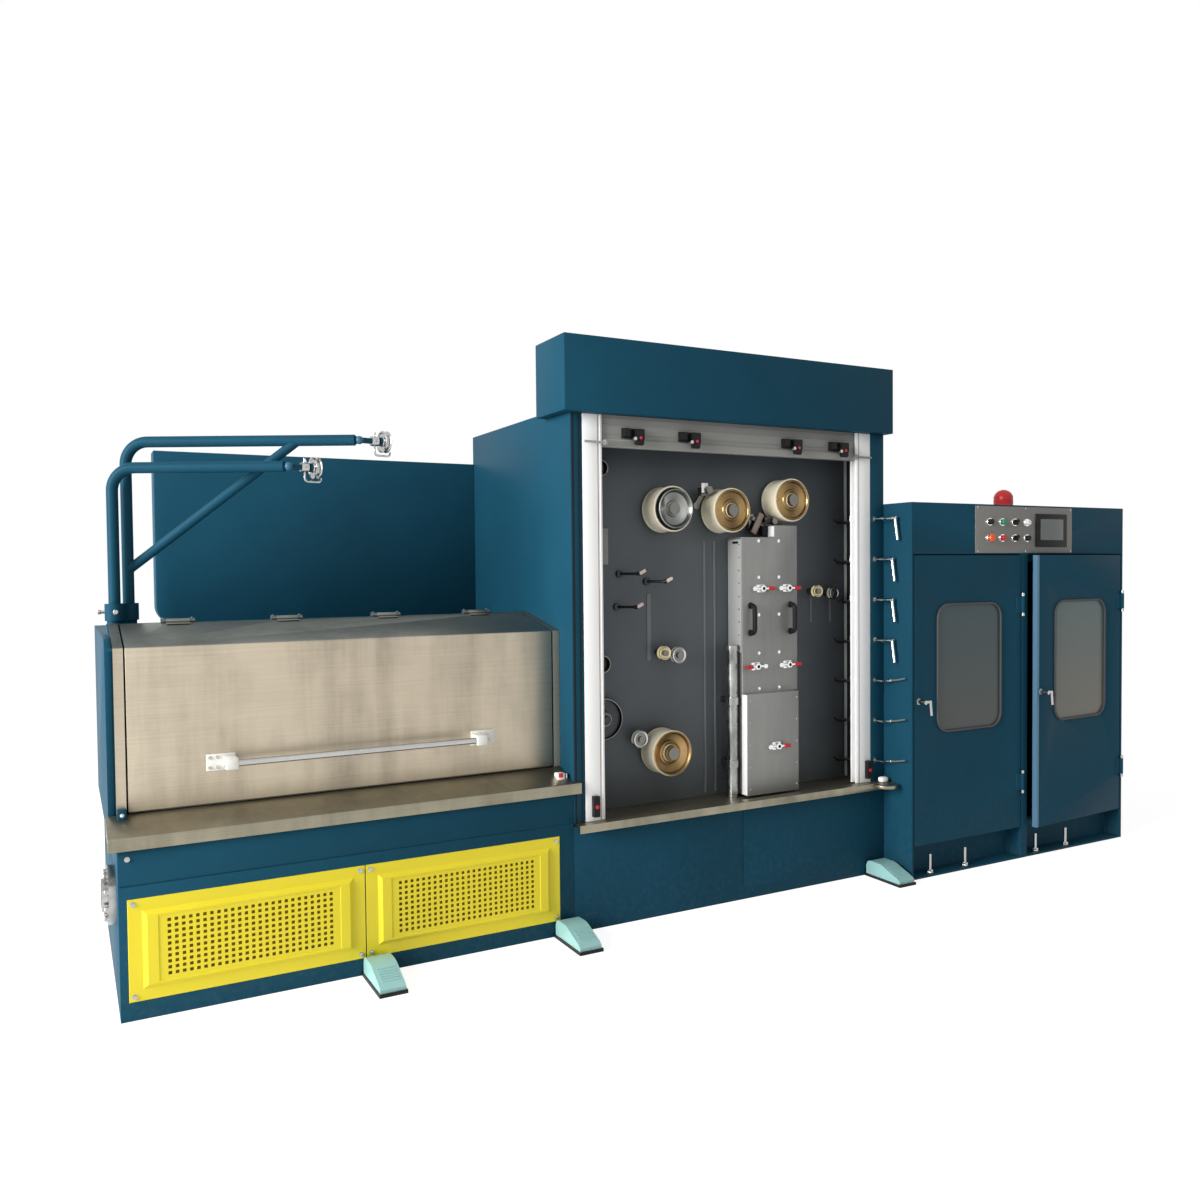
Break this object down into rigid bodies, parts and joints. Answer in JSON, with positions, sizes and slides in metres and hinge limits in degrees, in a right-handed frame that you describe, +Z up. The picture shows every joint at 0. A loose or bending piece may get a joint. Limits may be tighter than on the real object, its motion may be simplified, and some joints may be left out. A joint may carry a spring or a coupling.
{
  "type": "wire drawing machine",
  "caption": "Wire drawing line with a lidded drawing chamber, infeed jibs, an open annealer bay with contact sheaves under a roller shutter box, and a spooler cabinet with glazed doors.",
  "frame": {"origin": "centre of the bottom face of the annealer base, on the floor", "axes": "+X along the machine from the drawing unit to the spooler, +Y from the operator side to the back, +Z up"},
  "size_m": [5.024, 1.4869, 2.453],
  "materials": {
    "blue_paint": "satin",
    "stainless": "brushed",
    "bright_steel": "machined",
    "dark_steel": "satin",
    "brass": "machined",
    "yellow_paint": "satin",
    "white_paint": "satin",
    "dark_grey_paint": "satin",
    "grey_paint": "satin",
    "cream_ceramic": "matte",
    "chamber_steel": "brushed",
    "black_plastic": "matte",
    "screen_black": "gloss",
    "button_plastic": "gloss",
    "red_lens": "gloss",
    "red_grip": "matte",
    "window_glass": "gloss",
    "black_rubber": "matte",
    "mint_paint": "satin"
  },
  "bodies": {
    "machine": {"drawing_base": "blue_paint", "guard_panels": "yellow_paint", "drip_apron": "stainless", "chamber_housing": "blue_paint", "chamber_jambs": "stainless", "rear_hood": "blue_paint", "cover_hinges": "bright_steel", "jib_bracket": "blue_paint", "coolant_flange": "bright_steel", "annealer_base": "blue_paint", "sill_tray": "stainless", "annealer_cabinet": "blue_paint", "mounting_plate": "dark_grey_paint", "shutter_box": "blue_paint", "shutter_bar": "grey_paint", "guide_rails": "white_paint", "shutter_latches": "black_plastic", "pulley_studs": "bright_steel", "annealing_chamber": "chamber_steel", "chamber_handles": "black_plastic", "toggle_clamps": "red_grip", "sight_tube": "bright_steel", "wire_guides": "dark_steel", "contact_brushes": "dark_steel", "wire_hooks": "bright_steel", "spooler_cabinet": "blue_paint", "levelling_bolts": "bright_steel", "door_hinges": "bright_steel", "control_panel": "grey_paint", "operator_screen": "screen_black", "push_buttons": "button_plastic", "beacon": "red_lens", "pedal_mats": "black_rubber", "foot_pedals": "mint_paint"},
    "cover": {"chamber_cover": "stainless", "cover_handle": "white_paint"},
    "lower_jib": {"lower_jib": "blue_paint"},
    "upper_jib": {"upper_jib": "blue_paint"},
    "lower_jib_pulley": {"lower_jib_pulley": "bright_steel"},
    "upper_jib_pulley": {"upper_jib_pulley": "bright_steel"},
    "sheave_1": {"contact_sheave_1": "cream_ceramic"},
    "sheave_2": {"contact_sheave_2": "cream_ceramic"},
    "sheave_3": {"contact_sheave_3": "cream_ceramic"},
    "sheave_4": {"contact_sheave_4": "cream_ceramic"},
    "guide_pulley_1": {"guide_pulley_1": "brass"},
    "guide_pulley_2": {"guide_pulley_2": "bright_steel"},
    "guide_pulley_3": {"guide_pulley_3": "brass"},
    "guide_pulley_4": {"guide_pulley_4": "bright_steel"},
    "guide_pulley_5": {"guide_pulley_5": "bright_steel"},
    "left_door": {"left_door": "blue_paint", "left_window": "window_glass", "left_lever": "bright_steel"},
    "right_door": {"right_door": "blue_paint", "right_window": "window_glass", "right_lever": "bright_steel"}
  },
  "joints": [
    {"name": "cover_hinge", "type": "hinge", "parent": "machine", "child": "cover", "pos_m": [-1.7035, -0.0945, 1.322], "axis": [-1, 0, 0], "range_deg": [0, 80]},
    {"name": "lower_jib_swivel", "type": "hinge", "parent": "machine", "child": "lower_jib", "pos_m": [-2.5195, -0.0265, 1.35], "axis": [0, 0, 1], "range_deg": [-75, 0]},
    {"name": "upper_jib_swivel", "type": "hinge", "parent": "machine", "child": "upper_jib", "pos_m": [-2.4685, 0.0235, 1.35], "axis": [0, 0, 1], "range_deg": [0, 45]},
    {"name": "lower_jib_pulley_spin", "type": "hinge", "parent": "lower_jib", "child": "lower_jib_pulley", "pos_m": [-1.82954, -0.31619, 1.9], "axis": [0.9781, 0.2079, 0], "continuous": true},
    {"name": "upper_jib_pulley_spin", "type": "hinge", "parent": "upper_jib", "child": "upper_jib_pulley", "pos_m": [-1.57546, -0.37417, 2.005], "axis": [0.9781, 0.2079, 0], "continuous": true},
    {"name": "sheave_1_spin", "type": "hinge", "parent": "machine", "child": "sheave_1", "pos_m": [-0.31275, -0.425, 1.76622], "axis": [0, 1, 0], "continuous": true},
    {"name": "sheave_2_spin", "type": "hinge", "parent": "machine", "child": "sheave_2", "pos_m": [0.00256, -0.425, 1.76622], "axis": [0, 1, 0], "continuous": true},
    {"name": "sheave_3_spin", "type": "hinge", "parent": "machine", "child": "sheave_3", "pos_m": [0.34761, -0.425, 1.82033], "axis": [0, 1, 0], "continuous": true},
    {"name": "sheave_4_spin", "type": "hinge", "parent": "machine", "child": "sheave_4", "pos_m": [-0.32744, -0.425, 0.68567], "axis": [0, 1, 0], "continuous": true},
    {"name": "guide_pulley_1_spin", "type": "hinge", "parent": "machine", "child": "guide_pulley_1", "pos_m": [0.54517, -0.4155, 1.38692], "axis": [0, 1, 0], "continuous": true},
    {"name": "guide_pulley_2_spin", "type": "hinge", "parent": "machine", "child": "guide_pulley_2", "pos_m": [0.646, -0.4155, 1.37593], "axis": [0, 1, 0], "continuous": true},
    {"name": "guide_pulley_3_spin", "type": "hinge", "parent": "machine", "child": "guide_pulley_3", "pos_m": [-0.33155, -0.4155, 1.12702], "axis": [0, 1, 0], "continuous": true},
    {"name": "guide_pulley_4_spin", "type": "hinge", "parent": "machine", "child": "guide_pulley_4", "pos_m": [-0.25755, -0.4155, 1.114], "axis": [0, 1, 0], "continuous": true},
    {"name": "guide_pulley_5_spin", "type": "hinge", "parent": "machine", "child": "guide_pulley_5", "pos_m": [-0.45955, -0.4155, 0.75195], "axis": [0, 1, 0], "continuous": true},
    {"name": "left_door_hinge", "type": "hinge", "parent": "machine", "child": "left_door", "pos_m": [1.615, -0.741, 0.8], "axis": [0, 0, 1], "range_deg": [0, 105]},
    {"name": "right_door_hinge", "type": "hinge", "parent": "machine", "child": "right_door", "pos_m": [2.4105, -0.741, 0.8], "axis": [0, 0, 1], "range_deg": [-4, 106]}
  ]
}
